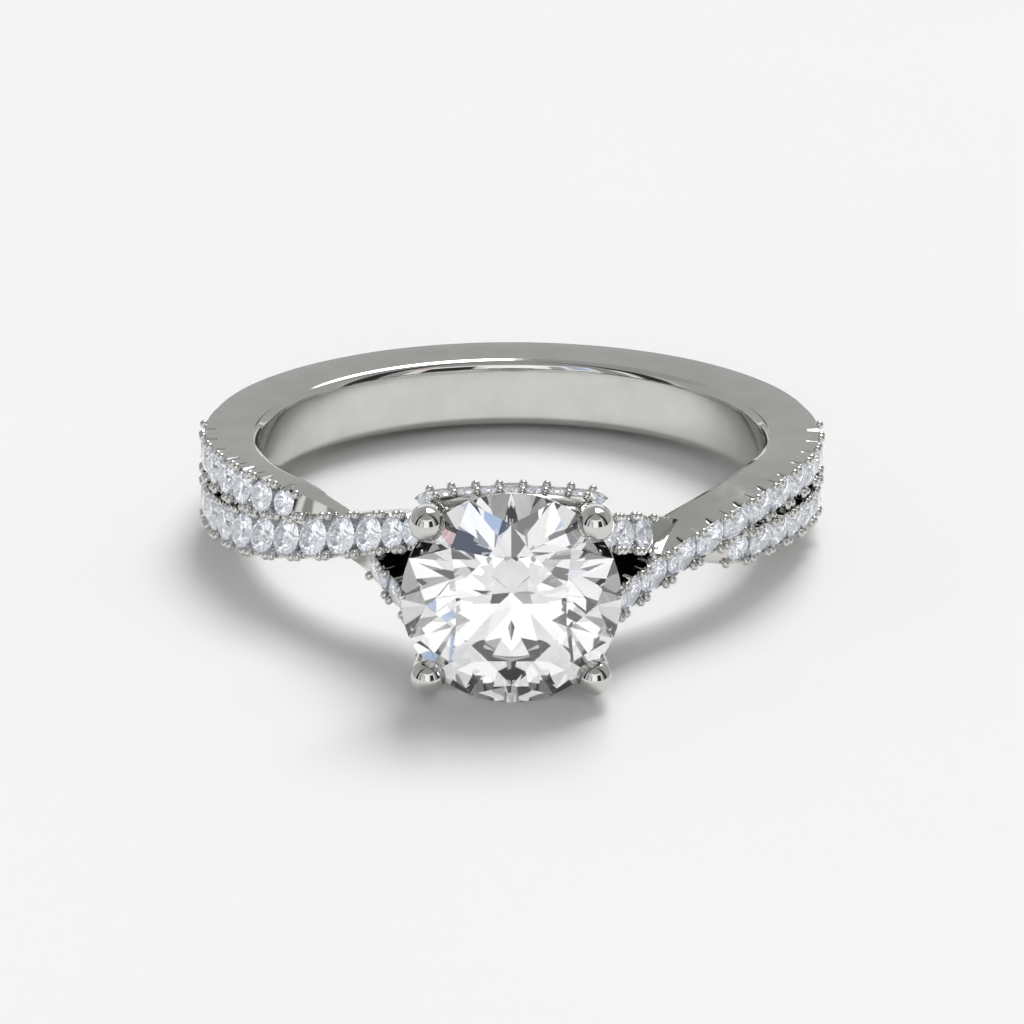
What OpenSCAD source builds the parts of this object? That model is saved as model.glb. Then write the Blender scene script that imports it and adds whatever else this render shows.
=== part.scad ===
// Split shank ring, lying on its side.
// A plain band splits at each shoulder into two stone-set strands. One strand crosses over the other,
// and all four rise to a basket of four prongs that holds a round brilliant.
// Everything is drawn in the ring's own frame (finger hole along Z, stone towards -Y) and then laid
// down by rest(), which tips the ring until the stone's edge and the back of the band touch the floor.

/* [Finger hole and band] */
// Diameter of the finger hole
bore_d = 16.5; // [16:0.1:17]
// Thickness of the plain band at the back
band_t = 1.98; // [1.8:0.02:2.1]
// Width of the plain band at its outer face
band_w = 2.68; // [2.6:0.02:2.8]
// How much thicker the band is at the back than at the shoulders, halved
band_shift = 0.12; // [0:0.02:0.2]
// Angle from the stone at which the plain band ends and the strands begin
split_angle = 95; // [90:1:100]

/* [Centre stone] */
// Diameter of the round brilliant
stone_d = 6.6; // [6.4:0.1:6.8]
// Height of the girdle above the finger hole's edge
girdle_rise = 4.85; // [4.7:0.05:5]
// Table width, as a share of the diameter
table_share = 0.54; // [0.52:0.01:0.6]
// Crown height, as a share of the diameter
crown_share = 0.14; // [0.12:0.01:0.16]
// Pavilion depth, as a share of the diameter
pavilion_share = 0.43; // [0.42:0.01:0.44]

/* [Strands] */
// Thickness of the metal rim on each side of a strand's groove
rim_w = 0.06; // [0.04:0.01:0.07]
// Depth of the groove that the small stones sit in
groove_t = 0.62; // [0.6:0.01:0.66]

/* [Bridges] */
// Diameter of the small stones on the bridges
bridge_stone_d = 0.6; // [0.56:0.01:0.62]
// Width of a bridge, measured towards the finger
bridge_w = 0.84; // [0.8:0.01:0.9]
// Thickness of a bridge
bridge_t = 0.52; // [0.48:0.01:0.54]

/* [Hidden] */
metal = [0.84, 0.84, 0.82];
gem = [0.90, 0.94, 1.0];
$fn = 96;

bore_r = bore_d / 2;
stone_r = stone_d / 2;
girdle_y = bore_r + girdle_rise;
table_r = stone_r * table_share;
crown_t = stone_d * crown_share;
girdle_t = 0.16;
pavilion_t = stone_d * pavilion_share;
// clearance between any stone and the metal round it
gap = 0.04;

// Strand tables. A row is a stone's seat, or a plain stretch where the stone's diameter is 0.
// Columns: angle from the centre stone, height of the rim above the finger hole, place across the band,
// width, roll of the outer face towards +Z, depth from the rim to the underside, how far the underside
// leans towards -Z, diameter of the stone
ANGLE = 0;
RISE = 1;
SIDE = 2;
WIDE = 3;
ROLL = 4;
DEEP = 5;
LEAN = 6;
STONE = 7;
over_rows = [
    [99.0, 1.50, -0.62, 0.90, 0, 1.20, 0.00, 0],
    [94.2, 1.70, -0.73, 1.20, 0, 1.50, 0.00, 0],
    [87.4, 1.74, -0.74, 1.22, 0, 1.59, 0.00, 1.00],
    [80.6, 1.74, -0.74, 1.22, 2, 1.59, 0.02, 1.00],
    [73.8, 1.72, -0.73, 1.22, 6, 1.57, 0.04, 1.00],
    [67.1, 1.66, -0.70, 1.24, 11, 1.51, 0.08, 1.02],
    [60.4, 1.59, -0.62, 1.30, 16, 1.44, 0.12, 1.04],
    [53.6, 1.52, -0.47, 1.34, 19, 1.37, 0.15, 1.06],
    [46.7, 1.47, -0.24, 1.36, 20, 1.37, 0.16, 1.08],
    [39.6, 1.49, 0.03, 1.36, 20, 1.45, 0.16, 1.10],
    [32.5, 1.62, 0.34, 1.34, 20, 1.56, 0.18, 1.10],
    [25.8, 1.90, 0.67, 1.28, 18, 1.70, 0.22, 1.06],
    [20.3, 2.33, 0.98, 1.20, 14, 1.56, 0.22, 0.94],
    [16.3, 2.80, 1.24, 1.10, 8, 1.20, 0.10, 0.78],
    [12.4, 3.45, 1.57, 0.80, 0, 0.90, 0.00, 0]
];
under_rows = [
    [99.0, 1.50, 0.62, 0.90, 0, 1.20, 0.00, 0],
    [94.2, 1.68, 0.73, 1.16, 0, 1.48, 0.00, 0],
    [88.6, 1.72, 0.74, 1.18, 0, 1.57, 0.00, 0.96],
    [82.0, 1.70, 0.74, 1.18, 3, 1.55, -0.02, 0.96],
    [75.4, 1.62, 0.74, 1.18, 8, 1.47, -0.04, 0.96],
    [68.7, 1.52, 0.73, 1.18, 12, 1.37, -0.06, 0.96],
    [61.9, 1.44, 0.72, 1.18, 15, 1.29, -0.06, 0.96],
    [55.0, 1.38, 0.73, 1.16, 15, 1.23, -0.06, 0.94],
    [48.6, 1.28, 0.76, 1.02, 14, 1.16, -0.06, 0.76],
    [43.6, 1.12, 0.66, 0.88, 10, 1.08, -0.06, 0],
    [38.4, 0.86, 0.36, 0.92, 4, 0.82, -0.04, 0],
    [33.4, 0.80, -0.14, 1.00, 0, 0.76, 0.00, 0],
    [29.0, 1.10, -0.36, 1.02, -8, 1.06, 0.00, 0],
    [24.6, 1.62, -0.62, 1.18, -15, 1.42, -0.08, 0.96],
    [19.2, 2.38, -0.98, 1.16, -15, 1.56, -0.18, 0.94],
    [15.5, 3.00, -1.26, 1.06, -10, 1.20, -0.10, 0.80],
    [12.2, 3.60, -1.58, 0.80, 0, 0.90, 0.00, 0]
];

// Bridge table, from the middle outwards. Columns: place along the bridge, height of its middle line above
// the finger hole, height of its rim across the band
ALONG = 0;
REACH = 1;
UP = 2;
bridge_half = [
    [0.00, 3.02, 2.80],
    [0.70, 3.04, 2.80],
    [1.40, 3.09, 2.78],
    [2.10, 3.18, 2.74],
    [2.76, 3.36, 2.66],
    [3.04, 3.54, 2.52]
];
bridge_last = len(bridge_half) - 1;
bridge_rows = concat(
    [for (i = [bridge_last:-1:1]) [-bridge_half[i][ALONG], bridge_half[i][REACH], bridge_half[i][UP]]],
    bridge_half
);

// Prong table, from the basket's base to the tip. Columns: place along X, height above the finger hole,
// place across the band, radius
prong_rows = [
    [1.55, 1.45, 1.30, 0.38],
    [1.98, 2.60, 1.74, 0.40],
    [2.30, 3.60, 2.08, 0.42],
    [2.46, 4.40, 2.34, 0.48],
    [2.52, 4.98, 2.44, 0.52],
    [2.52, 5.26, 2.44, 0.48],
    [2.51, 5.44, 2.43, 0.36],
    [2.50, 5.54, 2.42, 0.16]
];
prong_sides = 10;

// Base ring of the basket, round the Y axis
base_inner_r = 1.70;
base_outer_r = 2.50;
base_low = bore_r + 1.35;
base_high = bore_r + 2.00;

// Small vector helpers
function unit(v) = v / norm(v);
function polar(r, a, z) = [-r * sin(a), -r * cos(a), z];

// Catmull-Rom curve through the rows of a table, at place u counted in rows
function clip_row(t, i) = t[max(0, min(len(t) - 1, i))];
function smooth(p0, p1, p2, p3, s) =
    0.5 * (2 * p1 + (p2 - p0) * s + (2 * p0 - 5 * p1 + 4 * p2 - p3) * s * s
    + (3 * p1 - p0 - 3 * p2 + p3) * s * s * s);
function row_at(t, u) =
    let (i = min(floor(u), len(t) - 2))
    smooth(clip_row(t, i - 1), t[i], t[i + 1], clip_row(t, i + 2), u - i);

// Frame of a strand at place u: point on the rim's level, direction across the strand, outward normal, and
// the last two without the roll
function strand_point(t, u) =
    let (q = row_at(t, u))
    polar(bore_r + q[RISE], q[ANGLE], q[SIDE]);
function strand_frame(t, u) =
    let (
        step = 0.05,
        ahead = strand_point(t, min(len(t) - 1, u + step)) - strand_point(t, max(0, u - step)),
        along = unit(ahead),
        flat_out = unit([along[1], -along[0], 0]),
        flat_across = cross(flat_out, along),
        roll = row_at(t, u)[ROLL],
        out = flat_out * cos(roll) + flat_across * sin(roll)
    )
    [strand_point(t, u), cross(out, along), out, flat_across, flat_out];

// Ten corners of a strand's section, rim first, then the groove at a stone's seat, then underside
function strand_section(t, u) =
    let (
        q = row_at(t, u),
        f = strand_frame(t, u),
        half = q[WIDE] / 2,
        set = q[STONE] > 0,
        floor_half = set ? 0.18 : half - 0.2,
        floor_t = set ? -groove_t : 0.03,
        foot = f[0] - f[4] * q[DEEP] - f[3] * q[LEAN],
        heel = foot + f[4] * 0.25,
        foot_half = half - 0.16,
        heel_half = half - 0.05,
        rim = function (w, n) f[0] + f[1] * w + f[2] * n
    )
    [
        rim(-half, 0), rim(rim_w - half, 0), rim(-floor_half, floor_t),
        rim(floor_half, floor_t), rim(half - rim_w, 0), rim(half, 0),
        heel + f[3] * heel_half, foot + f[3] * foot_half,
        foot - f[3] * foot_half, heel - f[3] * heel_half
    ];

// Closed solid through a list of sections with the same number of corners
module loft(sections) {
    n = len(sections[0]);
    last = len(sections) - 1;
    sides = [for (i = [0:last - 1], j = [0:n - 1], half = [0, 1])
        let (a = i * n + j, b = i * n + (j + 1) % n)
        half == 0 ? [a, b, b + n] : [a, b + n, a + n]];
    ends = [[for (j = [n - 1:-1:0]) j], [for (j = [0:n - 1]) last * n + j]];
    polyhedron(points = [for (s = sections, p = s) p], faces = concat(sides, ends), convexity = 8);
}

module strand(t) {
    loft([for (u = [0:len(t) - 1]) strand_section(t, u)]);
}

// Room that the upper strand takes out of the lower one where they cross
module strand_room(t, from, to) {
    loft([for (u = [from:to])
        let (q = row_at(t, u), f = strand_frame(t, u), half = q[WIDE] / 2 - 0.03)
        [f[0] - f[1] * half - f[2] * 0.7, f[0] - f[1] * half + f[2] * 0.5,
            f[0] + f[1] * half + f[2] * 0.5, f[0] + f[1] * half - f[2] * 0.7]]);
}

module left_strands() {
    difference() {
        strand(under_rows);
        strand_room(over_rows, 6, 11);
    }
    strand(over_rows);
}

// Half turn about the centre stone's axis, which carries the left shoulder to the right one
module half_turn() {
    rotate([0, 180, 0]) children();
}

// Wedge about Z that covers the angles from the stone up to the given one, on both sides
module wedge(angle, h) {
    r = 3 * bore_r;
    linear_extrude(height = h, center = true)
        polygon(concat([[0, 0]], [for (k = [-4:4]) [r * sin(angle * k / 4), -r * cos(angle * k / 4)]]));
}

// Comfort-fit hole: a true cylinder with an arc at each mouth
mouth_r = 0.34;
mouth_z = 0.84;
module finger_hole() {
    cylinder(h = 8, r = bore_r, center = true);
    for (flip = [0, 1])
        mirror([0, 0, flip])
            rotate_extrude()
                polygon(concat(
                    [[0, mouth_z - 0.3], [bore_r - 0.05, mouth_z - 0.3]],
                    [for (k = [0:5])
                        [bore_r + mouth_r * (1 - cos(k * 15)), mouth_z + mouth_r * sin(k * 15)]],
                    [[bore_r + mouth_r, 4], [0, 4]]
                ));
}

// Plain band: its side faces lean in towards the finger, its outer corners are rounded, its outer face is
// slightly crowned
band_corner = 0.22;
band_crown = 0.06;
band_lean = 0.2;
function band_edge(k) = [
    bore_r + band_t - band_shift - band_crown - band_corner * (1 - sin(k * 22.5)),
    band_w / 2 - band_corner * (1 - cos(k * 22.5))
];
module plain_band() {
    inner_half = band_w / 2 - band_lean;
    difference() {
        translate([0, band_shift, 0])
            rotate_extrude()
                polygon(concat(
                    [[0, -inner_half], [bore_r, -inner_half]],
                    [for (k = [0:4]) [band_edge(k)[0], -band_edge(k)[1]]],
                    [[bore_r + band_t - band_shift, 0]],
                    [for (k = [4:-1:0]) band_edge(k)],
                    [[bore_r, inner_half], [0, inner_half]]
                ));
        finger_hole();
        wedge(split_angle, 8);
    }
}

// Inner wall of the shoulders, which carries the strands and keeps the finger hole round
liner_angle = 44;
liner_t = 0.7;
liner_w = 1.44;
module liner() {
    difference() {
        cylinder(h = liner_w, r = bore_r + liner_t, center = true);
        cylinder(h = 8, r = bore_r, center = true);
        wedge(liner_angle, 8);
        translate([0, 1.5 * bore_r, 0])
            cube([4 * bore_r, 2.6 * bore_r, 8], center = true);
    }
}

module prong() {
    loft([for (q = prong_rows)
        [for (k = [prong_sides - 1:-1:0])
            [q[0] + q[3] * cos(k * 360 / prong_sides), -(bore_r + q[1]), q[2] + q[3] * sin(k * 360 / prong_sides)]]]);
}

module prongs() {
    for (x = [0, 1], z = [0, 1])
        mirror([x, 0, 0]) mirror([0, 0, z]) prong();
}

// Bridge between two prongs, with a groove for its stones
function bridge_point(u) =
    let (q = row_at(bridge_rows, u))
    [q[ALONG], -(bore_r + q[REACH]), q[UP]];
function bridge_frame(u) =
    let (
        last = len(bridge_rows) - 1,
        along = unit(bridge_point(min(last, u + 0.05)) - bridge_point(max(0, u - 0.05))),
        across = unit(cross([0, 0, 1], along))
    )
    [bridge_point(u), across, cross(along, across)];
module bridge() {
    last = len(bridge_rows) - 1;
    half = bridge_w / 2;
    seat_t = bridge_stone_d * 0.5 + 0.07;
    loft([for (u = [0:last])
        let (
            f = bridge_frame(u),
            at = function (w, n) f[0] + f[1] * w + f[2] * n
        )
        [
            at(-half, 0), at(0.07 - half, 0), at(-0.07, -seat_t), at(0.07, -seat_t),
            at(half - 0.07, 0), at(half, 0), at(half - 0.1, -bridge_t), at(0.1 - half, -bridge_t)
        ]]);
}

// Room for the centre stone, cut from the prongs
module stone_room() {
    rotate([90, 0, 0])
        rotate_extrude()
            polygon([
                [0, girdle_y - pavilion_t - gap], [stone_r + gap, girdle_y - gap],
                [stone_r + gap, girdle_y + girdle_t + gap],
                [table_r + gap, girdle_y + girdle_t + crown_t + gap], [0, girdle_y + girdle_t + crown_t + gap]
            ]);
}

module base_ring() {
    rotate([90, 0, 0])
        difference() {
            translate([0, 0, base_low]) cylinder(h = base_high - base_low, r = base_outer_r);
            translate([0, 0, base_low - 1]) cylinder(h = 4, r = base_inner_r);
        }
}

// Round brilliant in its own frame: girdle's lower edge at height 0, table towards +Z
function ring_of(r, z, n, turn) = [for (k = [0:n - 1]) [r * cos(360 * k / n + turn), r * sin(360 * k / n + turn), z]];
module brilliant() {
    eighth = 22.5;
    star_r = (table_r * cos(eighth) + stone_r) / 2;
    crown_slope = crown_t / (stone_r - table_r);
    star_z = girdle_t + crown_t - (star_r * cos(eighth) - table_r) * crown_slope;
    low_r = stone_r * 0.22;
    low_z = -(stone_r - low_r * cos(eighth)) * pavilion_t / stone_r;
    // corners: 0-7 table, 8-15 star, 16-31 upper girdle, 32-47 lower girdle, 48-55 lower, 56 culet
    pts = concat(
        ring_of(table_r, girdle_t + crown_t, 8, 0), ring_of(star_r, star_z, 8, eighth),
        ring_of(stone_r, girdle_t, 16, 0), ring_of(stone_r, 0, 16, 0),
        ring_of(low_r, low_z, 8, eighth), [[0, 0, -pavilion_t]]
    );
    faces = concat(
        [[for (k = [7:-1:0]) k]],
        [for (k = [0:7]) [k, (k + 1) % 8, 8 + k]],
        [for (k = [0:7]) [k, 8 + k, 16 + 2 * k, 8 + (k + 7) % 8]],
        [for (k = [0:7]) [8 + k, 17 + 2 * k, 16 + 2 * k]],
        [for (k = [0:7]) [8 + k, 16 + (2 * k + 2) % 16, 17 + 2 * k]],
        [for (k = [0:15]) [16 + k, 16 + (k + 1) % 16, 32 + (k + 1) % 16, 32 + k]],
        [for (k = [0:7]) [32 + 2 * k, 33 + 2 * k, 48 + k]],
        [for (k = [0:7]) [33 + 2 * k, 32 + (2 * k + 2) % 16, 48 + k]],
        [for (k = [0:7]) [48 + k, 56, 48 + (k + 7) % 8, 32 + 2 * k]]
    );
    polyhedron(points = pts, faces = faces, convexity = 2);
}

// Small eight-sided stone in a seat's frame, its girdle just under the rim
module small_stone(f, d) {
    r = d / 2;
    along = cross(f[2], f[1]);
    at = function (p) f[0] + f[1] * p[0] + along * p[1] + f[2] * (p[2] - 0.05);
    local = concat(
        ring_of(r * 0.6, d * 0.15, 8, 0), ring_of(r, d * 0.02, 8, 0), ring_of(r, -d * 0.02, 8, 0),
        [[0, 0, -d * 0.42]]
    );
    faces = concat(
        [[for (k = [7:-1:0]) k]],
        [for (k = [0:7]) [k, (k + 1) % 8, 8 + (k + 1) % 8, 8 + k]],
        [for (k = [0:7]) [8 + k, 8 + (k + 1) % 8, 16 + (k + 1) % 8, 16 + k]],
        [for (k = [0:7]) [16 + k, 16 + (k + 1) % 8, 24]]
    );
    polyhedron(points = [for (p = local) at(p)], faces = faces, convexity = 2);
}

module strand_stones(t) {
    for (i = [0:len(t) - 1])
        if (t[i][STONE] > 0)
            small_stone(strand_frame(t, i), t[i][STONE]);
}

module bridge_stones() {
    for (i = [1:len(bridge_rows) - 2])
        small_stone(bridge_frame(i), bridge_stone_d);
}

module shank() {
    union() {
        plain_band();
        liner();
        left_strands();
        half_turn() left_strands();
    }
}

module basket() {
    difference() {
        union() {
            bridge();
            half_turn() bridge();
            prongs();
            base_ring();
        }
        stone_room();
    }
}

// Lays the ring down on the stone's edge and the back of the band
touch_back = [band_edge(0)[0] + band_shift, -band_edge(0)[1]];
touch_stone = [-girdle_y, -stone_r];
rest_tilt = atan2(touch_back[1] - touch_stone[1], touch_back[0] - touch_stone[0]);
function laid(p) = [p[0] * cos(rest_tilt) + p[1] * sin(rest_tilt), p[1] * cos(rest_tilt) - p[0] * sin(rest_tilt)];
front_y = laid([-(girdle_y + girdle_t + crown_t), -table_r])[0];
back_y = laid([bore_r + band_t, 0.6])[0];
floor_z = laid(touch_stone)[1];
module rest() {
    translate([0, -(front_y + back_y) / 2, -floor_z])
        rotate([-rest_tilt, 0, 0])
            children();
}

module ring_mount() {
    color(metal) rest() {
        shank();
        basket();
    }
}

module centre_stone() {
    color(gem) rest() translate([0, -girdle_y, 0]) rotate([90, 0, 0]) brilliant();
}

module pave_over_left() { color(gem) rest() strand_stones(over_rows); }
module pave_over_right() { color(gem) rest() half_turn() strand_stones(over_rows); }
module pave_under_left() { color(gem) rest() strand_stones(under_rows); }
module pave_under_right() { color(gem) rest() half_turn() strand_stones(under_rows); }
module pave_bridge_upper() { color(gem) rest() bridge_stones(); }
module pave_bridge_lower() { color(gem) rest() half_turn() bridge_stones(); }

ring_mount();
centre_stone();
pave_over_left();
pave_over_right();
pave_under_left();
pave_under_right();
pave_bridge_upper();
pave_bridge_lower();
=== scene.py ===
# %% [markdown]
# # A split shank ring
#
# The ring lies on its side, on the edge of its centre stone and on the back of its band.
# Sizes and places follow the CAD model and are written again here in millimetres. They depart from
# it a little where the strands leave the band, in the strands' lean near the basket, where strands
# and bridges end in the prongs, and in the size of the small stones. Each piece gets its finished
# form and its finish. All the forms are worked out in the ring's own frame (X across, Y away from
# the stone, Z along the finger), then laid down.

# %% The CAD model
import math

import bmesh
import bpy
import numpy as np
from mathutils import Matrix, Vector


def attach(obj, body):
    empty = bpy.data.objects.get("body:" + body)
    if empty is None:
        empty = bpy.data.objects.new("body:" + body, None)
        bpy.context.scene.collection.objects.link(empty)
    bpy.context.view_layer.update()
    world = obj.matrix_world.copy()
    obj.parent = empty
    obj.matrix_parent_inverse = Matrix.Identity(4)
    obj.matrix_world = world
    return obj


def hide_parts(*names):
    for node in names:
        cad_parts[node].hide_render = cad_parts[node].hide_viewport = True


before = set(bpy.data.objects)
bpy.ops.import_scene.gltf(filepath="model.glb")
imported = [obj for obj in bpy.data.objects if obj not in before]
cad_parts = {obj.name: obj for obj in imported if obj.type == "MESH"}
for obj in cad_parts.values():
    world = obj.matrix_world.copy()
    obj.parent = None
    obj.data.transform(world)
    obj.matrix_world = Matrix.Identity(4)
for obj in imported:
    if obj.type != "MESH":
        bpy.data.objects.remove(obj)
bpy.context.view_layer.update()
print("CAD pieces:", ", ".join(sorted(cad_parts)))

# %% [markdown]
# ## Laying the ring down
#
# A ring on a table doesn't stand level: the round stone is wider than the band, so the ring tilts
# by a few degrees until both touch. One turn and one shift carry every point there, so the forms
# below can be written as if the ring were level.

# %% Sizes and laying down
BORE_R = 8.25
STONE_R = 3.3
GIRDLE_Y = BORE_R + 4.85
TABLE_R, CROWN_T, PAVILION_T, GIRDLE_T = 1.782, 0.924, 2.838, 0.16
TILT = math.radians(4.8603)
SHIFT_Y, SHIFT_Z = 2.01996, 2.17821


def laid(points):
    """Points in millimetres in the ring's frame, as metres in the row frame."""
    p = np.asarray(points, float)
    y = p[..., 1] * math.cos(TILT) + p[..., 2] * math.sin(TILT) + SHIFT_Y
    z = p[..., 2] * math.cos(TILT) - p[..., 1] * math.sin(TILT) + SHIFT_Z
    return np.stack([p[..., 0], y, z], -1) * 0.001


def half_turn(points):
    """The other shoulder: half a turn about the stone's axis."""
    return np.asarray(points, float) * [-1, 1, -1]


def unit(v):
    return v / np.linalg.norm(v)


# %% [markdown]
# ## Finishes
#
# White gold is a polished metal, warm grey rather than blue. Its colour and roughness drift a
# little with a fine noise, as a hand-polished surface does. A diamond is clear, with a strong bend
# of light, and only the faintest change of tint through it. Both patterns read object coordinates,
# so they stay on the piece.

# %% Metal and stone materials
def new_material(name):
    material = bpy.data.materials.new(name)
    material.use_nodes = True
    nodes, links = material.node_tree.nodes, material.node_tree.links
    return material, nodes, links, nodes["Principled BSDF"]


def noise_ramp(nodes, links, scale, low, high, socket):
    """Object coordinates, noise and a colour ramp, into a socket of the shader."""
    place = nodes.new("ShaderNodeTexCoord")
    noise = nodes.new("ShaderNodeTexNoise")
    noise.inputs["Scale"].default_value = scale
    noise.inputs["Detail"].default_value = 3
    ramp = nodes.new("ShaderNodeValToRGB")
    ramp.color_ramp.elements[0].position, ramp.color_ramp.elements[1].position = 0.35, 0.65
    ramp.color_ramp.elements[0].color, ramp.color_ramp.elements[1].color = (*low, 1), (*high, 1)
    links.new(place.outputs["Object"], noise.inputs["Vector"])
    links.new(noise.outputs["Fac"], ramp.inputs["Fac"])
    links.new(ramp.outputs["Color"], socket)


def white_gold():
    material, nodes, links, shader = new_material("white_gold")
    shader.inputs["Metallic"].default_value = 1
    noise_ramp(nodes, links, 900, (0.64, 0.635, 0.61), (0.69, 0.685, 0.66), shader.inputs["Base Color"])
    noise_ramp(nodes, links, 2500, (0.05, 0.05, 0.05), (0.085, 0.085, 0.085), shader.inputs["Roughness"])
    return material


def diamond(name, scale):
    material, nodes, links, shader = new_material(name)
    shader.inputs["Roughness"].default_value = 0
    shader.inputs["IOR"].default_value = 2.42
    shader.inputs["Transmission Weight"].default_value = 1
    noise_ramp(nodes, links, scale, (0.975, 0.985, 1.0), (1.0, 0.995, 0.985), shader.inputs["Base Color"])
    return material


GOLD = white_gold()
DIAMOND = diamond("diamond", 500)
PAVE = diamond("pave_diamond", 900)
# a faint glow stands for the light that such small stones gather and a short render misses
pave_shader = PAVE.node_tree.nodes["Principled BSDF"]
pave_shader.inputs["Emission Color"].default_value = (0.82, 0.88, 1.0, 1)
pave_shader.inputs["Emission Strength"].default_value = 0.07
print("materials:", GOLD.name, DIAMOND.name, PAVE.name)

# %% [markdown]
# ## Lofting metal
#
# Every long metal part here is a section carried along a path: the band, the strands, the prongs
# and the bridges. One helper joins a list of sections into a closed skin, and keeps an edge sharp
# only where two faces really turn away from each other.

# %% Loft helper
METAL = []


def add_part(parts, points, faces, sharp=32):
    mesh = bpy.data.meshes.new("part")
    mesh.from_pydata([tuple(p) for p in laid(points)], [], faces)
    mesh.validate()
    work = bmesh.new()
    work.from_mesh(mesh)
    bmesh.ops.recalc_face_normals(work, faces=work.faces)
    work.to_mesh(mesh)
    work.free()
    mesh.polygons.foreach_set("use_smooth", [True] * len(mesh.polygons))
    mesh.set_sharp_from_angle(angle=math.radians(sharp))
    parts.append(mesh)


def loft(sections, ring=False):
    """Points and faces of a closed skin through sections; a ring's last section meets its first."""
    sections = np.asarray(sections, float)
    count, corners = sections.shape[:2]
    faces = []
    for i in range(count if ring else count - 1):
        a, b = i * corners, (i + 1) % count * corners
        for j in range(corners):
            k = (j + 1) % corners
            faces.append((a + j, a + k, b + k, b + j))
    if not ring:
        faces.append(tuple(range(corners - 1, -1, -1)))
        faces.append(tuple(range((count - 1) * corners, count * corners)))
    return sections.reshape(-1, 3), faces


# %% [markdown]
# ## The plain band
#
# The lower part of the ring is a plain band. Its outer face is slightly crowned and its corners are
# rounded, its side faces lean in, and the mouth of the finger hole is rounded for comfort. It is
# one lathe profile turned from one shoulder round the back to the other.

# %% The band
BAND_R = BORE_R + 1.98
BAND_SHIFT = 0.12
CORNER_R, CORNER_Z, CROWN_DROP = 0.24, 1.10, 0.06
SIDE_R, SIDE_Z = 9.30, 1.27
MOUTH_R, MOUTH_Z = 0.34, 0.84
BAND_FROM, BAND_TO, EASE_SPAN = 95, 265, 22
# where the band meets the strands: distances from the finger's axis, and half the width there
MET_R, MET_HALF = [8.25, 8.41, 8.65, 9.3, 9.97], [0.84, 1.13, 1.26, 1.295, 1.31]
RIM_R = 9.93
LIFT_FROM, LIFT_SPAN = 8.7, 1.2


def band_profile():
    corner = BAND_R - CROWN_DROP
    right = [(BAND_R, 0), (BAND_R - CROWN_DROP / 4, 0.5), (corner, CORNER_Z)]
    right += [
        (corner - CORNER_R * (1 - math.cos(a)), CORNER_Z + CORNER_R * math.sin(a))
        for a in np.radians(np.linspace(12, 84, 7))
    ]
    right += [(SIDE_R, SIDE_Z)]
    right += [
        (BORE_R + MOUTH_R * (1 - math.cos(a)), MOUTH_Z + MOUTH_R * math.sin(a))
        for a in np.radians(np.linspace(86, 0, 10))
    ]
    left = [(r, -z) for r, z in right[::-1] if z > 0]
    return right + left


def band_at(angles):
    """The band's profile, easing at both ends into the side walls and rims of the strands."""
    plain = np.asarray(band_profile())
    walls = np.interp(plain[:, 0], MET_R, MET_HALF)
    side = np.abs(plain[:, 1]) > 0.85
    met = plain.copy()
    met[:, 1] = np.where(side, np.sign(plain[:, 1]) * walls, plain[:, 1])
    met[:, 0] = np.minimum(plain[:, 0], RIM_R)
    sections = []
    for a in np.radians(angles):
        ease = min(1.0, min(math.degrees(a) - BAND_FROM, BAND_TO - math.degrees(a)) / EASE_SPAN)
        ease = ease * ease * (3 - 2 * ease)
        profile = met * (1 - ease) + plain * ease
        section = np.stack([-profile[:, 0] * math.sin(a), -profile[:, 0] * math.cos(a), profile[:, 1]], -1)
        lift = np.clip((profile[:, 0] - LIFT_FROM) / LIFT_SPAN, 0, 1) * BAND_SHIFT
        section[:, 1] += lift * max(0.0, -math.cos(a)) - lift
        sections.append(section)
    return sections


add_part(METAL, *loft(band_at(np.linspace(BAND_FROM, BAND_TO, 120))))
print("band:", len(METAL[-1].polygons), "faces")

# %% [markdown]
# ## The strands
#
# At each shoulder the band splits into two strands that hold a row of small stones, and one crosses
# over the other on its way to the stone. A table states where each stone sits. The section carries a
# V groove for the stones between two thin bright rims. At each stone the edge has a fishtail notch,
# and between two stones a thin slit, as a setter's saw and graver leave them.

# %% Strand tables
# angle from the stone, height above the hole, place across the band, width, roll, depth, lean, stone
OVER = [
    [112.0, 1.64, -0.68, 1.18, 0, 1.50, 0.00, 0], [103.0, 1.69, -0.715, 1.20, 0, 1.54, 0.00, 0],
    [95.0, 1.72, -0.735, 1.22, 0, 1.57, 0.00, 0],
    [87.4, 1.74, -0.74, 1.22, 0, 1.59, 0.00, 1.00], [80.6, 1.74, -0.74, 1.22, 2, 1.59, 0.02, 1.00],
    [73.8, 1.72, -0.73, 1.22, 6, 1.57, 0.04, 1.00], [67.1, 1.66, -0.70, 1.24, 11, 1.51, 0.08, 1.02],
    [60.4, 1.59, -0.62, 1.30, 16, 1.44, 0.12, 1.04], [53.6, 1.52, -0.47, 1.34, 19, 1.37, 0.15, 1.06],
    [46.7, 1.47, -0.24, 1.36, 20, 1.37, 0.16, 1.08], [39.6, 1.49, 0.03, 1.36, 20, 1.45, 0.16, 1.10],
    [32.5, 1.62, 0.34, 1.34, 20, 1.56, 0.12, 1.10], [25.8, 1.90, 0.67, 1.28, 18, 1.70, 0.12, 1.06],
    [20.3, 2.33, 0.98, 1.20, 14, 1.56, 0.12, 0.94], [16.3, 2.80, 1.24, 1.10, 8, 1.20, 0.05, 0.78],
    [12.4, 3.45, 1.60, 0.80, 0, 0.90, 0.00, 0],
]
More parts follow.
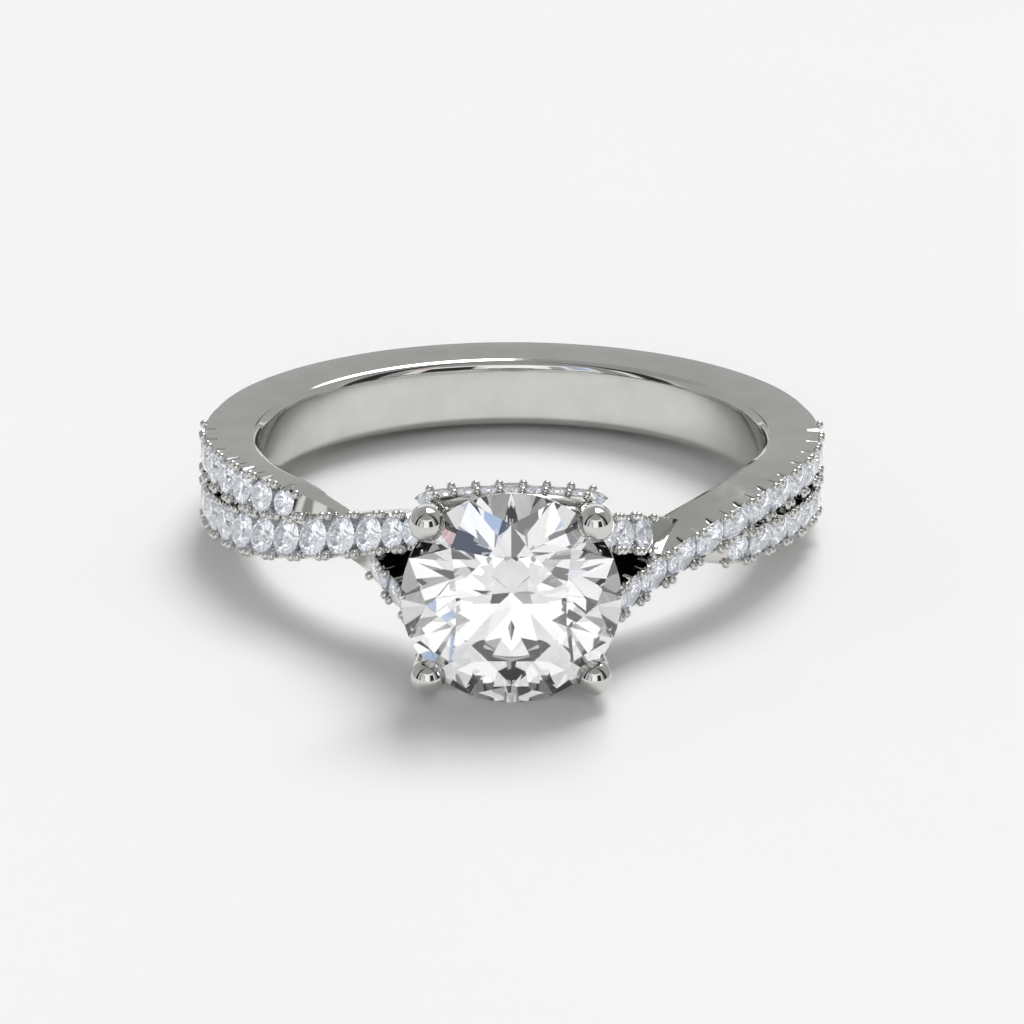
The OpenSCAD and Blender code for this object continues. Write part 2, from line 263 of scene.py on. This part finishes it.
UNDER = [
    [112.0, 1.64, 0.68, 1.18, 0, 1.50, 0.00, 0], [103.0, 1.69, 0.715, 1.20, 0, 1.54, 0.00, 0],
    [95.4, 1.71, 0.74, 1.20, 0, 1.56, 0.00, 0],
    [88.6, 1.72, 0.74, 1.18, 0, 1.57, 0.00, 0.96], [82.0, 1.70, 0.74, 1.18, 3, 1.55, -0.02, 0.96],
    [75.4, 1.62, 0.74, 1.18, 8, 1.47, -0.04, 0.96], [68.7, 1.52, 0.73, 1.18, 12, 1.37, -0.06, 0.96],
    [61.9, 1.44, 0.72, 1.18, 15, 1.29, -0.06, 0.96], [55.0, 1.38, 0.73, 1.16, 15, 1.23, -0.06, 0.94],
    [48.6, 1.28, 0.76, 1.02, 14, 1.16, -0.06, 0.76], [43.6, 1.12, 0.66, 0.88, 10, 1.08, -0.06, 0],
    [38.4, 0.86, 0.36, 0.92, 4, 0.82, -0.04, 0], [33.4, 0.80, -0.14, 1.00, 0, 0.76, 0.00, 0],
    [29.0, 1.10, -0.36, 1.02, -8, 1.06, 0.00, 0], [24.6, 1.62, -0.62, 1.18, -15, 1.42, -0.08, 0.96],
    [19.2, 2.38, -0.98, 1.16, -15, 1.56, -0.18, 0.94], [15.5, 3.00, -1.26, 1.06, -10, 1.20, -0.10, 0.80],
    [12.2, 3.60, -1.62, 0.80, 0, 0.90, 0.00, 0],
]
ANGLE, RISE, SIDE, WIDE, ROLL, DEEP, LEAN, STONE = range(8)


def row_at(table, u):
    """A smooth curve through the rows of a table."""
    rows = np.asarray(table, float)
    i = min(int(u), len(rows) - 2)
    s = u - i
    a, b, c, d = (rows[min(max(k, 0), len(rows) - 1)] for k in (i - 1, i, i + 1, i + 2))
    return 0.5 * (2 * b + (c - a) * s + (2 * a - 5 * b + 4 * c - d) * s**2 + (3 * b - a - 3 * c + d) * s**3)


def strand_point(table, u):
    q = row_at(table, u)
    a, r = math.radians(q[ANGLE]), BORE_R + q[RISE]
    return np.array([-r * math.sin(a), -r * math.cos(a), q[SIDE]])


def strand_frame(table, u):
    """Point on the rim's level, across, out, and the last two without the roll."""
    ahead = strand_point(table, min(len(table) - 1, u + 0.05)) - strand_point(table, max(0, u - 0.05))
    along = unit(ahead)
    flat_out = unit(np.array([along[1], -along[0], 0]))
    flat_across = np.cross(flat_out, along)
    roll = math.radians(row_at(table, u)[ROLL])
    out = flat_out * math.cos(roll) + flat_across * math.sin(roll)
    return strand_point(table, u), np.cross(out, along), out, flat_across, flat_out


# %% Strand skins
NOTCH, NOTCH_DEEP = 0.10, 0.15
SLIT, SLIT_DEEP = 0.022, 0.06
GROOVE_DEEP, GROOVE_HALF, RIM_W = 0.62, 0.18, 0.07
HEEL, HEEL_IN, FOOT_IN = 0.25, 0.05, 0.16
STATIONS = (0, 0.05, 0.10, 0.16, 0.25, 0.35, 0.44, 0.478, 0.5, 0.522, 0.56, 0.65, 0.75, 0.84, 0.90, 0.95)


def is_set(table, i):
    return 0 <= i < len(table) and table[i][STONE] > 0


def cut_at(table, u):
    """How far the edge is cut in at place u: a notch at a stone, a slit between two stones."""
    i = round(u)
    if is_set(table, i) and abs(u - i) < NOTCH:
        return NOTCH_DEEP * (1 - abs(u - i) / NOTCH)
    j = math.floor(u)
    if is_set(table, j) and is_set(table, j + 1) and abs(u - j - 0.5) < SLIT:
        return SLIT_DEEP * (1 - abs(u - j - 0.5) / SLIT)
    return 0.0


def strand_section(table, u):
    q = row_at(table, u)
    p, across, out, flat_across, flat_out = strand_frame(table, u)
    half = q[WIDE] / 2
    j = min(int(u), len(table) - 2)
    past = u - j if is_set(table, j) else j + 1 - u
    seat = is_set(table, j) or is_set(table, j + 1)
    if seat and not (is_set(table, j) and is_set(table, j + 1)):
        seat = float(np.clip(1 - (past - 0.36) / 0.14, 0, 1))
    floor_t = -GROOVE_DEEP * seat + 0.03 * (1 - seat)
    floor_half = GROOVE_HALF * seat + (half - 0.2) * (1 - seat)
    cut = cut_at(table, u)
    foot = p - flat_out * q[DEEP] - flat_across * q[LEAN]
    heel = foot + flat_out * HEEL
    rim_w = RIM_W * (1 - 3 * cut)

    def at(w, n):
        return p + across * w + out * n

    def wall(side):
        """The side wall, from the rim down to the foot of the notch and on to the heel."""
        top, low = at(side * half, 0), heel + flat_across * side * (half - HEEL_IN)
        share = min(0.5, 0.36 / np.linalg.norm(low - top))
        return [at(side * (half - cut), 0), top + (low - top) * share, low]

    left, right = wall(-1), wall(1)
    return [
        left[0], at(-half + cut + rim_w, 0.012), at(-floor_half, floor_t), at(floor_half, floor_t),
        at(half - cut - rim_w, 0.012), *right,
        foot + flat_across * (half - FOOT_IN), foot - flat_across * (half - FOOT_IN), left[2], left[1],
    ]


def strand_sections(table):
    places = sorted({i + s for i in range(len(table) - 1) for s in STATIONS} | {len(table) - 1})
    return np.array([strand_section(table, u) for u in places])


for table in (OVER, UNDER):
    sections = strand_sections(table)
    add_part(METAL, *loft(sections), sharp=26)
    add_part(METAL, *loft(half_turn(sections)), sharp=26)
print("strands:", sum(len(m.polygons) for m in METAL[1:5]), "faces")

# %% [markdown]
# ## The wall inside the shoulders
#
# Under the strands a wall keeps the finger hole round. It is a length of tube as wide as the two
# strands' undersides, with the same rounded mouths as the band, so the hole's edge runs on from
# the band to the shoulders.

# %% Inner wall
WALL_FROM, WALL_TO, WALL_R = 44, 97, 8.95


def wall_section(degrees):
    up = np.interp(degrees, [44, 50, 97], [0.93, 1.15, 1.18])
    low = np.interp(degrees, [44, 50, 60, 97], [0.80, 1.0, 1.10, 1.18])
    arc = np.radians(np.linspace(0, 88, 8))
    profile = [(BORE_R + MOUTH_R * (1 - math.cos(t)), up - MOUTH_R * (1 - math.sin(t))) for t in arc]
    profile += [(WALL_R, up), (WALL_R, -low)]
    profile += [(BORE_R + MOUTH_R * (1 - math.cos(t)), MOUTH_R * (1 - math.sin(t)) - low) for t in arc[::-1]]
    a = math.radians(degrees)
    return [(-r * math.sin(a), -r * math.cos(a), z) for r, z in profile]


wall = np.array([wall_section(a) for a in np.linspace(WALL_FROM, WALL_TO, 54)])
add_part(METAL, *loft(wall))
add_part(METAL, *loft(half_turn(wall)))

# %% [markdown]
# ## The basket
#
# Four prongs lean out from a base ring and end in round tips that hold the stone at its edge. Two
# small bridges of stones join the prongs in pairs, under the stone. A prong is a table of centres
# and radii, and its tip is a true ball.

# %% Prongs
PRONG = [
    [1.55, 1.45, 1.30, 0.36], [1.98, 2.60, 1.74, 0.40], [2.30, 3.60, 2.08, 0.43],
    [2.44, 4.20, 2.32, 0.47], [2.51, 4.84, 2.42, 0.525],
]
TIP = (2.51, 5.20, 2.43)
TIP_R = 0.545


def prong_sections(sides=28):
    turn = np.radians(np.arange(sides) * 360 / sides)
    rows = [row_at(PRONG, u) for u in np.linspace(0, len(PRONG) - 1, 22)]
    for a in np.radians(np.linspace(-15, 88, 15)):
        rows.append([TIP[0], TIP[1] + TIP_R * math.sin(a), TIP[2], TIP_R * math.cos(a)])
    return [
        np.stack([x + r * np.cos(turn), np.full(sides, -(BORE_R + rise)), z + r * np.sin(turn)], -1)
        for x, rise, z, r in rows
    ]


for sx in (1, -1):
    for sz in (1, -1):
        sections = np.array(prong_sections()) * [sx, 1, sz]
        add_part(METAL, *loft(sections), sharp=60)

# %% Base ring of the basket
turns = np.radians(np.arange(72) * 5)
ring_profile = [
    (1.70, 1.40), (1.74, 1.35), (2.46, 1.35), (2.50, 1.40),
    (2.50, 1.95), (2.46, 2.0), (1.74, 2.0), (1.70, 1.95),
]
base = [[(r * math.cos(a), -(BORE_R + rise), r * math.sin(a)) for r, rise in ring_profile] for a in turns]
add_part(METAL, *loft(base, ring=True))

# %% Bridges
# place along the bridge, height above the hole, place along the finger
BRIDGE_HALF = [
    [0, 3.02, 2.80], [0.70, 3.04, 2.80], [1.40, 3.09, 2.78],
    [2.10, 3.18, 2.74], [2.55, 3.30, 2.66], [2.66, 3.36, 2.48],
]
BRIDGE = [[-a, b, c] for a, b, c in BRIDGE_HALF[:0:-1]] + BRIDGE_HALF


def bridge_point(u):
    along, reach, up = row_at(BRIDGE, u)
    return np.array([along, -(BORE_R + reach), up])


def bridge_frame(u):
    along = unit(bridge_point(min(len(BRIDGE) - 1, u + 0.05)) - bridge_point(max(0, u - 0.05)))
    across = unit(np.cross([0, 0, 1], along))
    return bridge_point(u), across, np.cross(along, across)


def bridge_sections(half=0.42, thick=0.52):
    profile = [
        (-half, 0), (0.08 - half, 0.01), (-0.07, -0.37), (0.07, -0.37), (half - 0.08, 0.01), (half, 0),
        (half, -0.2), (half - 0.04, -thick + 0.1), (half - 0.14, -thick), (0.14 - half, -thick),
        (0.04 - half, -thick + 0.1), (-half, -0.2),
    ]
    sections = []
    for u in np.linspace(0, len(BRIDGE) - 1, 61):
        p, across, out = bridge_frame(u)
        sections.append([p + across * w + out * n for w, n in profile])
    return np.array(sections)


for turn in (lambda p: p, half_turn):
    add_part(METAL, *loft(turn(bridge_sections())), sharp=30)
print("metal parts:", len(METAL))

# %% [markdown]
# ## A round brilliant
#
# A cut stone is what is left of a block after flat cuts, so it is made that way: each facet is one
# plane that trims a block, and last a ring of small planes rounds the girdle. This gives every
# facet its true outline, and the scalloped line where the facets meet the girdle.

# %% Cutting a stone
def plane_through(a, b, c):
    normal = np.cross(b - a, c - a)
    normal /= np.linalg.norm(normal)
    return (a, -normal) if np.dot(normal, a - np.array([0, 0, -0.3])) < 0 else (a, normal)


def brilliant_mesh(name, radius, table, crown, pavilion, girdle, sides):
    """Table towards +Z, girdle's lower edge at height 0."""

    def at(r, z, degrees):
        a = math.radians(degrees)
        return np.array([r * math.cos(a), r * math.sin(a), z])

    half = math.cos(math.radians(22.5))
    star_r, low_r = (table * half + radius) / 2 + 0.02 * radius, 0.24 * radius
    slope = crown / (radius - table)
    star_z = girdle + crown - (star_r * half - table) * slope
    low_z = -(radius - low_r * half) * pavilion / radius
    top = girdle + crown
    cuts = [(np.array([0, 0, top]), np.array([0.0, 0, 1]))]
    for k in range(8):
        a = 45 * k + 22.5
        inner, outer = at(table, top, a), at(radius, girdle, a)
        star = at(star_r, star_z, a + 22.5)
        other = at(star_r, star_z, a - 22.5)
        low, low_other = at(low_r, low_z, a + 22.5), at(low_r, low_z, a - 22.5)
        cuts.append(plane_through(outer, star, other))
        cuts.append(plane_through(inner, at(table, top, a + 45), star))
        culet = np.array([0, 0, -pavilion])
        cuts.append(plane_through(culet, low, low_other))
        for side in (1, -1):
            edge, tip = a + 22.5 * side, (star if side > 0 else other)
            deep = low if side > 0 else low_other
            cuts.append(plane_through(outer, at(radius, girdle, edge), tip))
            cuts.append(plane_through(at(radius, 0, a), at(radius, 0, edge), deep))
    for k in range(sides):
        a = 360 * (k + 0.5) / sides
        cuts.append((at(radius, 0, a), at(1, 0, a)))
    work = bmesh.new()
    bmesh.ops.create_cube(work, size=4 * radius)
    for point, normal in cuts:
        geom = work.verts[:] + work.edges[:] + work.faces[:]
        cut = bmesh.ops.bisect_plane(
            work, geom=geom, dist=1e-6 * radius, clear_outer=True,
            plane_co=Vector(point), plane_no=Vector(normal),
        )
        edges = [e for e in cut["geom_cut"] if isinstance(e, bmesh.types.BMEdge) and e.is_boundary]
        if edges:
            bmesh.ops.edgeloop_fill(work, edges=edges)
    bmesh.ops.remove_doubles(work, verts=work.verts, dist=1e-4 * radius)
    bmesh.ops.recalc_face_normals(work, faces=work.faces)
    mesh = bpy.data.meshes.new(name)
    work.to_mesh(mesh)
    print(name, "facets:", len(work.faces), "open edges:", sum(not e.is_manifold for e in work.edges))
    work.free()
    return mesh


def show(mesh, name, node, material):
    """Puts a finished mesh in the scene in place of a CAD node."""
    mesh.materials.clear()
    mesh.materials.append(material)
    piece = bpy.data.objects.new(name, mesh)
    bpy.context.scene.collection.objects.link(piece)
    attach(piece, "root")
    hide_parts(node)
    return piece


stone = brilliant_mesh("centre_brilliant", STONE_R, TABLE_R, CROWN_T, PAVILION_T, GIRDLE_T, 64)
for v in stone.vertices:
    x, y, z = v.co
    v.co = Vector(laid([x, -GIRDLE_Y - z, y]))
facet, heart = stone.polygons[0], Vector(laid([0, -GIRDLE_Y, 0]))
if facet.normal.dot(facet.center - heart) < 0:
    stone.flip_normals()
show(stone, "centre_stone_cut", "centre_stone", DIAMOND)

# %% [markdown]
# ## Small stones and beads
#
# The pavé is one stone and one bead repeated many times along the strands, so Geometry Nodes set
# them: a mesh of bare points says where each one sits, which way it faces and how big it is, and
# the node tree puts a copy on every point and makes them real.

# %% Setting tree
def setting_tree():
    tree = bpy.data.node_groups.new("set_on_points", "GeometryNodeTree")
    for name, kind, way in (
        ("Points", "NodeSocketGeometry", "INPUT"), ("Part", "NodeSocketObject", "INPUT"),
        ("Material", "NodeSocketMaterial", "INPUT"), ("Set", "NodeSocketGeometry", "OUTPUT"),
    ):
        tree.interface.new_socket(name=name, in_out=way, socket_type=kind)
    nodes, links = tree.nodes, tree.links
    start, end = nodes.new("NodeGroupInput"), nodes.new("NodeGroupOutput")
    part = nodes.new("GeometryNodeObjectInfo")
    place = nodes.new("GeometryNodeInstanceOnPoints")
    real = nodes.new("GeometryNodeRealizeInstances")
    paint = nodes.new("GeometryNodeSetMaterial")
    turn, size = nodes.new("GeometryNodeInputNamedAttribute"), nodes.new("GeometryNodeInputNamedAttribute")
    turn.data_type, size.data_type = "FLOAT_VECTOR", "FLOAT"
    turn.inputs["Name"].default_value, size.inputs["Name"].default_value = "turn", "size"
    links.new(start.outputs["Points"], place.inputs["Points"])
    links.new(start.outputs["Part"], part.inputs["Object"])
    links.new(part.outputs["Geometry"], place.inputs["Instance"])
    links.new(turn.outputs["Attribute"], place.inputs["Rotation"])
    links.new(size.outputs["Attribute"], place.inputs["Scale"])
    links.new(place.outputs["Instances"], real.inputs["Geometry"])
    links.new(real.outputs["Geometry"], paint.inputs["Geometry"])
    links.new(start.outputs["Material"], paint.inputs["Material"])
    links.new(paint.outputs["Geometry"], end.inputs["Set"])
    return tree


SETTING = setting_tree()


def set_on(seats, part_mesh, material, smooth):
    """One mesh of copies of a part. A seat is (place, facing, across, size) in the ring's frame, in mm."""
    points = bpy.data.meshes.new("seats")
    points.from_pydata([tuple(laid(s[0])) for s in seats], [], [])
    turns, spans = [], []
    origin = laid([0, 0, 0])
    for _, facing, across, size in seats:
        up = unit(laid(facing) - origin)
        side = unit(laid(across) - origin)
        side = unit(side - up * np.dot(side, up))
        turn = Matrix((side, np.cross(up, side), up)).transposed().to_euler()
        turns.append(tuple(turn))
        spans.append(size * 0.001)
    points.attributes.new("turn", "FLOAT_VECTOR", "POINT").data.foreach_set("vector", np.ravel(turns))
    points.attributes.new("size", "FLOAT", "POINT").data.foreach_set("value", spans)
    holder = bpy.data.objects.new("seats", points)
    part = bpy.data.objects.new("part", part_mesh)
    bpy.context.scene.collection.objects.link(holder)
    bpy.context.scene.collection.objects.link(part)
    modifier = holder.modifiers.new("set", "NODES")
    modifier.node_group = SETTING
    ids = {i.name: i.identifier for i in SETTING.interface.items_tree if i.in_out == "INPUT"}
    modifier[ids["Part"]], modifier[ids["Material"]] = part, material
    graph = bpy.context.evaluated_depsgraph_get()
    graph.update()
    done = bpy.data.meshes.new_from_object(holder.evaluated_get(graph))
    holder.modifiers.remove(modifier)
    bpy.data.objects.remove(holder)
    bpy.data.objects.remove(part)
    for name in ("turn", "size"):
        if name in done.attributes:
            done.attributes.remove(done.attributes[name])
    done.polygons.foreach_set("use_smooth", [smooth] * len(done.polygons))
    return done


# %% Where the stones and beads sit
STONE_SINK, STONE_SHARE, BRIDGE_STONE = 0.05, 1.10, 0.62
BEAD_SIZE, BEAD_GAP = 0.29, 0.145


def strand_seats(table):
    """Stones in their seats, and two beads on each edge between stones, one at a row's ends."""
    stones, beads = [], []
    for i, row in enumerate(table):
        if row[STONE] > 0:
            p, across, out, _, _ = strand_frame(table, i)
            stones.append((p - out * STONE_SINK, out, across, row[STONE] * STONE_SHARE))
    for i in range(1, len(table) - 1):
        here, there = is_set(table, i), is_set(table, i + 1)
        if not here and not there:
            continue
        pitch = np.linalg.norm(strand_point(table, i + 1) - strand_point(table, i))
        middle = 0.5 if here and there else (0.56 if here else 0.44)
        for shift in ((-BEAD_GAP, BEAD_GAP) if here and there else (0.0,)):
            p, across, out, _, _ = strand_frame(table, i + middle + shift / pitch)
            half = row_at(table, i + middle)[WIDE] / 2
            for side in (1, -1):
                beads.append((p + across * side * (half - 0.05) + out * 0.08, out, across, BEAD_SIZE))
    return stones, beads


def bridge_seats():
    stones, beads = [], []
    for i in range(1, len(BRIDGE) - 1):
        p, across, out = bridge_frame(i)
        stones.append((p - out * STONE_SINK, out, across, BRIDGE_STONE))
    for i in range(1, len(BRIDGE) - 2):
        p, across, out = bridge_frame(i + 0.5)
        for side in (1, -1):
            beads.append((p + across * side * 0.34 + out * 0.06, out, across, BEAD_SIZE))
    return stones, beads


def bead_mesh():
    work = bmesh.new()
    bmesh.ops.create_uvsphere(work, u_segments=12, v_segments=7, radius=0.5)
    mesh = bpy.data.meshes.new("bead")
    work.to_mesh(mesh)
    work.free()
    return mesh


def turned(seats):
    return [(half_turn(a), half_turn(b), half_turn(c), d) for a, b, c, d in seats]


SMALL = brilliant_mesh("small_brilliant", 0.5, 0.29, 0.14, 0.41, 0.03, 24)
BEAD = bead_mesh()
bead_seats = []
for node, (stones, beads), flip in (
    ("pave_over_left", strand_seats(OVER), False), ("pave_over_right", strand_seats(OVER), True),
    ("pave_under_left", strand_seats(UNDER), False), ("pave_under_right", strand_seats(UNDER), True),
    ("pave_bridge_upper", bridge_seats(), False), ("pave_bridge_lower", bridge_seats(), True),
):
    if flip:
        stones, beads = turned(stones), turned(beads)
    bead_seats += beads
    show(set_on(stones, SMALL, PAVE, False), node + "_stones", node, PAVE)
METAL.append(set_on(bead_seats, BEAD, GOLD, True))
print("beads:", len(bead_seats))

# %% [markdown]
# ## One body of metal
#
# The ring is cast and soldered, so all the metal becomes one piece with one finish.

# %% Fusing the metal
def fuse(meshes, name):
    work = bmesh.new()
    for mesh in meshes:
        work.from_mesh(mesh)
    whole = bpy.data.meshes.new(name)
    work.to_mesh(whole)
    work.free()
    for face in whole.polygons:
        face.material_index = 0
    return whole


mount = show(fuse(METAL, "mount"), "ring_metal", "ring_mount", GOLD)
print("metal faces:", len(mount.data.polygons))

# %% [markdown]
# ## The studio
#
# The ring lies on a pale floor under a soft white sky. Polished metal and cut stones show only what
# is around them, so the sky has a greyer ceiling, one bright card and one black card near the
# camera, dark and grey stripes for contrast, and two faint tinted cards. A strong light stands high
# behind the ring.

# %% Floor, sky and camera
def floor():
    mesh = bpy.data.meshes.new("floor")
    r = 1.5
    mesh.from_pydata([(-r, -r, 0), (r, -r, 0), (r, r, 0), (-r, r, 0)], [], [(0, 1, 2, 3)])
    material, nodes, links, shader = new_material("floor_paint")
    shader.inputs["Roughness"].default_value = 0.9
    noise_ramp(nodes, links, 20, (0.90, 0.90, 0.90), (0.92, 0.92, 0.92), shader.inputs["Base Color"])
    mesh.materials.append(material)
    piece = bpy.data.objects.new("floor", mesh)
    bpy.context.scene.collection.objects.link(piece)


class Sky:
    """A sky whose brightness depends on the direction, made of a few math nodes."""

    def __init__(self, base):
        self.base = base
        self.world = bpy.data.worlds.new("studio")
        self.world.use_nodes = True
        self.nodes, self.links = self.world.node_tree.nodes, self.world.node_tree.links
        place = self.nodes.new("ShaderNodeTexCoord")
        parts = self.nodes.new("ShaderNodeSeparateXYZ")
        self.links.new(place.outputs["Generated"], parts.inputs["Vector"])
        back = self.math("MULTIPLY", parts.outputs["Y"], -1)
        self.turn = self.math("ARCTAN2", parts.outputs["X"], back)
        self.height = self.math("ARCSINE", parts.outputs["Z"], 0)
        self.colour = None

    def math(self, kind, a, b):
        node = self.nodes.new("ShaderNodeMath")
        node.operation = kind
        for i, v in enumerate((a, b)):
            if isinstance(v, (int, float)):
                node.inputs[i].default_value = v
            else:
                self.links.new(v, node.inputs[i])
        return node.outputs[0]

    def near(self, source, middle, reach, soft):
        """1 within reach degrees of the middle, 0 beyond reach + soft."""
        off = self.math("ABSOLUTE", self.math("SUBTRACT", source, math.radians(middle)), 0)
        fall = self.math("SUBTRACT", math.radians(reach + soft), off)
        node = self.math("DIVIDE", fall, math.radians(max(soft, 0.2)))
        clamp = self.nodes.new("ShaderNodeClamp")
        self.links.new(node, clamp.inputs["Value"])
        return clamp.outputs[0]

    def card(self, value, turn=None, height=None):
        """Paints a brightness over a range of directions: (middle, reach, softness) in degrees."""
        mask = None
        for source, span in ((self.turn, turn), (self.height, height)):
            if span:
                here = self.near(source, *span)
                mask = here if mask is None else self.math("MULTIPLY", mask, here)
        mix = self.nodes.new("ShaderNodeMix")
        mix.data_type = "RGBA"
        mix.inputs[7].default_value = (*(value if isinstance(value, tuple) else (value,) * 3), 1)
        if self.colour is None:
            mix.inputs[6].default_value = (*self.base, 1)
        else:
            self.links.new(self.colour, mix.inputs[6])
        self.links.new(mask, mix.inputs[0])
        self.colour = mix.outputs[2]

    def finish(self, strength):
        shade = self.nodes["Background"]
        self.links.new(self.colour, shade.inputs["Color"])
        shade.inputs["Strength"].default_value = strength
        bpy.context.scene.world = self.world


sky = Sky((0.48, 0.48, 0.48))
sky.card(0.95, turn=(0, 75, 15))
sky.card(0.40, height=(80, 34, 8))
sky.card(1.2, turn=(0, 60, 10), height=(37, 6, 4))
sky.card((0.50, 0.62, 0.85), turn=(-34, 4, 2), height=(30, 12, 2))
sky.card((0.85, 0.62, 0.66), turn=(48, 3, 2), height=(44, 8, 2))
sky.card(0.35, turn=(-50, 6, 2), height=(10, 40, 4))
sky.card(0.40, turn=(57, 5, 2), height=(10, 30, 4))
sky.card(0.04, turn=(74, 9, 3))
sky.card(0.04, turn=(-72, 7, 3))
sky.card(0.04, turn=(30, 12, 1), height=(14, 22, 1))
sky.card(1.3, turn=(-3, 15, 1), height=(14, 22, 1))
sky.card(0.45, turn=(-22, 3, 1), height=(10, 24, 2))
sky.card(0.38, turn=(-4, 3, 1), height=(62, 14, 2))
sky.card(10.0, turn=(180, 38, 10), height=(58, 12, 8))
sky.finish(1.0)
floor()


# where the photo was taken from and which way it looks, in the ring's frame, and its angle of view
VIEW_FROM = (0.023, -141.61, 44.74)
VIEW_Y, VIEW_Z = 0.95041, -0.31101
VIEW_ANGLE = 12.86


def camera():
    data = bpy.data.cameras.new("camera")
    data.lens_unit = "FOV"
    data.angle = math.radians(VIEW_ANGLE)
    data.clip_start, data.clip_end = 0.01, 10
    piece = bpy.data.objects.new("camera", data)
    bpy.context.scene.collection.objects.link(piece)
    origin = laid([0, 0, 0])
    ahead = unit(laid([0, VIEW_Y, VIEW_Z]) - origin)
    up = unit(laid([0, -VIEW_Z, VIEW_Y]) - origin)
    right = np.cross(ahead, up)
    turn = Matrix((right, up, -ahead)).transposed().to_4x4()
    turn.translation = Vector(laid(VIEW_FROM))
    piece.matrix_world = turn
    bpy.context.scene.camera = piece


camera()
bpy.context.scene.view_settings.view_transform = "Standard"
